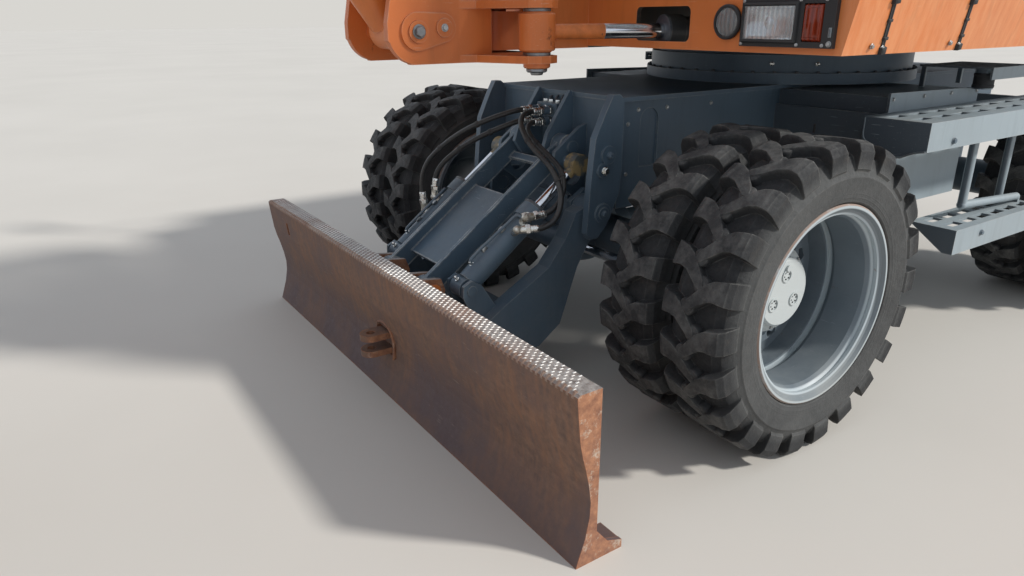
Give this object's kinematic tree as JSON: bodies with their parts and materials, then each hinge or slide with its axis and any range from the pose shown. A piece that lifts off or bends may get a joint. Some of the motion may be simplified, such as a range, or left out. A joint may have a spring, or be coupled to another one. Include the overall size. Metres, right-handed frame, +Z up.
{
  "type": "wheeled excavator",
  "caption": "Wheeled excavator with twin tyres, dozer blade, slewing upper with cab and hood, and an offset-swing boom with arm and bucket.",
  "frame": {"origin": "on the ground under the middle of the whole machine", "axes": "+X towards the front of the undercarriage, +Y to its left, +Z up"},
  "size_m": [7.5237, 2.49, 3.9455],
  "materials": {
    "chrome": "polished rod",
    "glass": "clear",
    "grey_paint": "worn satin paint",
    "lamp": "clear ribbed lens",
    "orange_paint": "worn gloss paint",
    "plastic": "grained",
    "rubber": "matt hose rubber",
    "rust": "rusted steel with worn paint",
    "seat": "woven seat cover",
    "slate_paint": "worn gloss paint, dusty",
    "steel": "oiled dark steel",
    "tyre": "dusty rubber"
  },
  "bodies": {
    "chassis": {"frame": "slate_paint", "slew_ring": "steel", "front_axle": "slate_paint", "rear_axle": "slate_paint", "steps": "grey_paint", "blade_hose_left_top": "rubber", "blade_hose_left_low": "rubber", "blade_hose_right_top": "rubber", "blade_hose_right_low": "rubber"},
    "steer_rod": {"steer_rod": "chrome"},
    "knuckle_left": {"knuckle_left": "slate_paint"},
    "knuckle_right": {"knuckle_right": "slate_paint"},
    "wheel_front_left": {"tyres_front_left": "tyre", "rim_front_left": "grey_paint"},
    "wheel_front_right": {"tyres_front_right": "tyre", "rim_front_right": "grey_paint"},
    "wheel_rear_left": {"tyres_rear_left": "tyre", "rim_rear_left": "grey_paint"},
    "wheel_rear_right": {"tyres_rear_right": "tyre", "rim_rear_right": "grey_paint"},
    "blade_arms": {"blade_arms": "slate_paint"},
    "blade_links": {"blade_links": "slate_paint"},
    "blade": {"blade": "rust"},
    "blade_barrels": {"blade_barrels": "slate_paint"},
    "blade_rods": {"blade_rods": "chrome"},
    "upper": {"deck": "orange_paint", "counterweight": "orange_paint", "panels": "orange_paint", "engine": "steel", "rails_and_mirrors": "plastic", "cab": "orange_paint", "cab_glass": "glass", "seat": "seat", "controls": "plastic", "lamps": "lamp"},
    "hood": {"hood": "orange_paint"},
    "door": {"door": "orange_paint", "door_glass": "glass"},
    "swing_barrel": {"swing_barrel": "orange_paint"},
    "swing_rod": {"swing_rod": "chrome"},
    "post": {"post": "orange_paint"},
    "boom": {"boom": "orange_paint"},
    "lift_barrel": {"lift_barrel": "orange_paint"},
    "lift_rod": {"lift_rod": "chrome"},
    "arm": {"arm": "orange_paint"},
    "arm_barrel": {"arm_barrel": "orange_paint"},
    "arm_rod": {"arm_rod": "chrome"},
    "bucket_barrel": {"bucket_barrel": "orange_paint"},
    "bucket_rod": {"bucket_rod": "chrome"},
    "rocker": {"rocker": "orange_paint"},
    "bucket_link": {"bucket_link": "orange_paint"},
    "bucket": {"bucket": "rust"}
  },
  "joints": [
    {"name": "slew", "type": "hinge", "parent": "chassis", "child": "upper", "pos_m": [-1.99538, 0, 1.283], "axis": [0, 0, 1], "continuous": true},
    {"name": "steer_left", "type": "hinge", "parent": "chassis", "child": "knuckle_left", "pos_m": [-0.74538, 0.58, 0.523], "axis": [0, 0, 1], "range_deg": [-25, 25]},
    {"name": "steer_right", "type": "hinge", "parent": "chassis", "child": "knuckle_right", "pos_m": [-0.74538, -0.58, 0.523], "axis": [0, 0, 1], "range_deg": [-25, 25]},
    {"name": "steer_rod_slide", "type": "slide", "parent": "chassis", "child": "steer_rod", "axis": [0, 1, 0], "range_m": [-0.09586, 0.09586]},
    {"name": "wheel_front_left", "type": "hinge", "parent": "knuckle_left", "child": "wheel_front_left", "pos_m": [-0.74538, 0.9825, 0.523], "axis": [0, 1, 0], "continuous": true},
    {"name": "wheel_front_right", "type": "hinge", "parent": "knuckle_right", "child": "wheel_front_right", "pos_m": [-0.74538, -0.9825, 0.523], "axis": [0, 1, 0], "continuous": true},
    {"name": "wheel_rear_left", "type": "hinge", "parent": "chassis", "child": "wheel_rear_left", "pos_m": [-3.24538, 0.9825, 0.523], "axis": [0, 1, 0], "continuous": true},
    {"name": "wheel_rear_right", "type": "hinge", "parent": "chassis", "child": "wheel_rear_right", "pos_m": [-3.24538, -0.9825, 0.523], "axis": [0, 1, 0], "continuous": true},
    {"name": "blade_lift", "type": "hinge", "parent": "chassis", "child": "blade_arms", "pos_m": [-0.51238, 0, 0.691], "axis": [0, -1, 0], "range_deg": [0, 35], "deforming": ["blade_hose_left_top", "blade_hose_left_low", "blade_hose_right_top", "blade_hose_right_low"]},
    {"name": "blade_links_pivot", "type": "hinge", "parent": "chassis", "child": "blade_links", "pos_m": [-0.53038, 0, 0.91], "axis": [0, -1, 0], "range_deg": [0, 35]},
    {"name": "blade_level", "type": "hinge", "parent": "blade_arms", "child": "blade", "pos_m": [0.12762, 0, 0.221], "axis": [0, -1, 0], "range_deg": [-35, 0]},
    {"name": "blade_barrel_pivot", "type": "hinge", "parent": "blade_arms", "child": "blade_barrels", "pos_m": [0.01462, 0, 0.46], "axis": [0, -1, 0], "range_deg": [-3.58, 0]},
    {"name": "blade_rod_slide", "type": "slide", "parent": "blade_barrels", "child": "blade_rods", "axis": [-0.7963, 0, 0.6049], "range_m": [-0.0932, 0]},
    {"name": "boom_swing", "type": "hinge", "parent": "upper", "child": "post", "pos_m": [-0.29538, 0, 1.243], "axis": [0, 0, 1], "range_deg": [-45, 35]},
    {"name": "swing_barrel_pivot", "type": "hinge", "parent": "upper", "child": "swing_barrel", "pos_m": [-1.30538, 0.64, 1.343], "axis": [0, 0, 1], "range_deg": [-0.55, 0.66]},
    {"name": "swing_rod_slide", "type": "slide", "parent": "swing_barrel", "child": "swing_rod", "axis": [0.9646, -0.2639, 0], "range_m": [-0.19539, 0.25064]},
    {"name": "boom_lift", "type": "hinge", "parent": "post", "child": "boom", "pos_m": [-0.11538, 0, 1.79], "axis": [0, -1, 0], "range_deg": [-42, 10]},
    {"name": "lift_barrel_pivot", "type": "hinge", "parent": "post", "child": "lift_barrel", "pos_m": [0.11462, 0, 1.347], "axis": [0, -1, 0], "range_deg": [-39.26, 9.5]},
    {"name": "lift_rod_slide", "type": "slide", "parent": "lift_barrel", "child": "lift_rod", "axis": [0.5839, 0, 0.8118], "range_m": [-0.3551, 0.08607]},
    {"name": "arm_swing", "type": "hinge", "parent": "boom", "child": "arm", "pos_m": [3.47962, 0, 3.44], "axis": [0, 1, 0], "range_deg": [-78, 4]},
    {"name": "arm_barrel_pivot", "type": "hinge", "parent": "boom", "child": "arm_barrel", "pos_m": [1.75462, 0, 3.545], "axis": [0, -1, 0], "range_deg": [-0.462, 0.213]},
    {"name": "arm_rod_slide", "type": "slide", "parent": "arm_barrel", "child": "arm_rod", "axis": [0.9868, 0, 0.1621], "range_m": [-0.58514, 0.0319]},
    {"name": "bucket_curl", "type": "hinge", "parent": "arm", "child": "bucket", "pos_m": [2.70439, 0, 1.5498], "axis": [0, -1, 0], "range_deg": [-6, 100]},
    {"name": "rocker_pivot", "type": "hinge", "parent": "arm", "child": "rocker", "pos_m": [2.841, 0, 1.88287], "axis": [0, -1, 0], "range_deg": [-6, 100]},
    {"name": "bucket_link_pivot", "type": "hinge", "parent": "bucket", "child": "bucket_link", "pos_m": [2.8356, 0, 1.23613], "axis": [0, -1, 0], "range_deg": [-100, 6]},
    {"name": "bucket_barrel_pivot", "type": "hinge", "parent": "arm", "child": "bucket_barrel", "pos_m": [3.68628, 0, 3.07423], "axis": [0, -1, 0], "range_deg": [-0.227, 0.656]},
    {"name": "bucket_rod_slide", "type": "slide", "parent": "bucket_barrel", "child": "bucket_rod", "axis": [-0.4287, 0, -0.9035], "range_m": [-0.5241, 0.03333]},
    {"name": "door_hinge", "type": "hinge", "parent": "upper", "child": "door", "pos_m": [-1.44938, 1.209, 2], "axis": [0, 0, 1], "range_deg": [0, 105]},
    {"name": "hood_hinge", "type": "hinge", "parent": "upper", "child": "hood", "pos_m": [-3.03538, 0, 2.142], "axis": [0, -1, 0], "range_deg": [0, 60]}
  ],
  "couplings": [
    {"joint": "steer_right", "follows": "steer_left", "ratio": 1},
    {"joint": "steer_rod_slide", "follows": "steer_left", "m_per_rad": 0.20824},
    {"joint": "blade_links_pivot", "follows": "blade_lift", "ratio": 1},
    {"joint": "blade_level", "follows": "blade_lift", "ratio": -1},
    {"joint": "blade_barrel_pivot", "follows": "blade_lift", "ratio": -0.096451},
    {"joint": "blade_rod_slide", "follows": "blade_lift", "m_per_rad": -0.14929},
    {"joint": "swing_barrel_pivot", "follows": "boom_swing", "ratio": -0.010109},
    {"joint": "swing_rod_slide", "follows": "boom_swing", "m_per_rad": -0.31658},
    {"joint": "lift_barrel_pivot", "follows": "boom_lift", "ratio": 0.92992},
    {"joint": "lift_rod_slide", "follows": "boom_lift", "m_per_rad": 0.48169},
    {"joint": "arm_barrel_pivot", "follows": "arm_swing", "ratio": 0.003354},
    {"joint": "arm_rod_slide", "follows": "arm_swing", "m_per_rad": 0.42835},
    {"joint": "rocker_pivot", "follows": "bucket_curl", "ratio": 1},
    {"joint": "bucket_link_pivot", "follows": "bucket_curl", "ratio": -1},
    {"joint": "bucket_barrel_pivot", "follows": "bucket_curl", "ratio": 0.004561},
    {"joint": "bucket_rod_slide", "follows": "bucket_curl", "m_per_rad": -0.29914}
  ]
}
